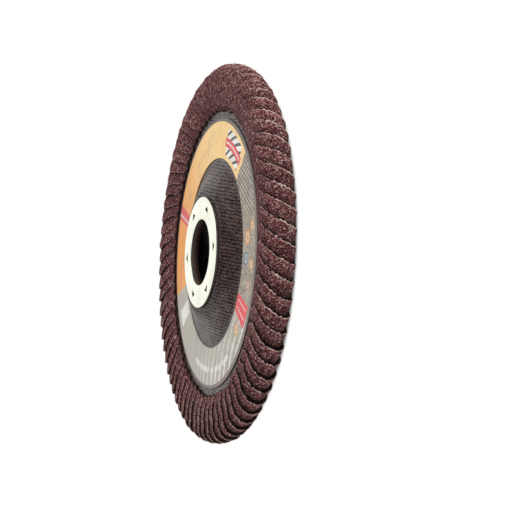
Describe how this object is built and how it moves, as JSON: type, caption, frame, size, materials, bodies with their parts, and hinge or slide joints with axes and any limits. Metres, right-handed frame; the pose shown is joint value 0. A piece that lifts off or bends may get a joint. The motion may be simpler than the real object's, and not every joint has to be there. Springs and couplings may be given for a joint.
{
  "type": "flap disc",
  "caption": "Grinding flap disc: overlapping abrasive-cloth flaps wrapped over the half-round edge of a raised-hub backing plate with a steel-ringed bore and a printed label.",
  "frame": {"origin": "on the bore axis, in the plane of the working face that the disc lies on", "axes": "+Z along the bore axis, from the working face to the printed side; +X towards the picture's near side, +Y towards its top"},
  "size_m": [0.127, 0.127, 0.0127],
  "materials": {
    "abrasive_cloth": "coarse maroon-brown grit on cloth",
    "glass_cloth_resin": "pressed glass cloth in dark resin, faint weave",
    "ring_steel": "satin plated sheet",
    "label_paper": "printed paper with a slight sheen",
    "adhesive": "cured resin"
  },
  "bodies": {
    "root": {"adhesive_bed": "adhesive", "adhesive_film": "adhesive", "backing_plate": "glass_cloth_resin", "centre_ring": "ring_steel", "flap_pair_01": "abrasive_cloth", "flap_pair_02": "abrasive_cloth", "flap_pair_03": "abrasive_cloth", "flap_pair_04": "abrasive_cloth", "flap_pair_05": "abrasive_cloth", "flap_pair_06": "abrasive_cloth", "flap_pair_07": "abrasive_cloth", "flap_pair_08": "abrasive_cloth", "flap_pair_09": "abrasive_cloth", "flap_pair_10": "abrasive_cloth", "flap_pair_11": "abrasive_cloth", "flap_pair_12": "abrasive_cloth", "flap_pair_13": "abrasive_cloth", "flap_pair_14": "abrasive_cloth", "flap_pair_15": "abrasive_cloth", "flap_pair_16": "abrasive_cloth", "flap_pair_17": "abrasive_cloth", "flap_pair_18": "abrasive_cloth", "flap_pair_19": "abrasive_cloth", "flap_pair_20": "abrasive_cloth", "flap_pair_21": "abrasive_cloth", "flap_pair_22": "abrasive_cloth", "flap_pair_23": "abrasive_cloth", "flap_pair_24": "abrasive_cloth", "flap_pair_25": "abrasive_cloth", "flap_pair_26": "abrasive_cloth", "flap_pair_27": "abrasive_cloth", "flap_pair_28": "abrasive_cloth", "flap_pair_29": "abrasive_cloth", "flap_pair_30": "abrasive_cloth", "flap_pair_31": "abrasive_cloth", "flap_pair_32": "abrasive_cloth", "flap_pair_33": "abrasive_cloth", "flap_pair_34": "abrasive_cloth", "flap_pair_35": "abrasive_cloth", "flap_pair_36": "abrasive_cloth", "label": "label_paper"}
  },
  "joints": []
}
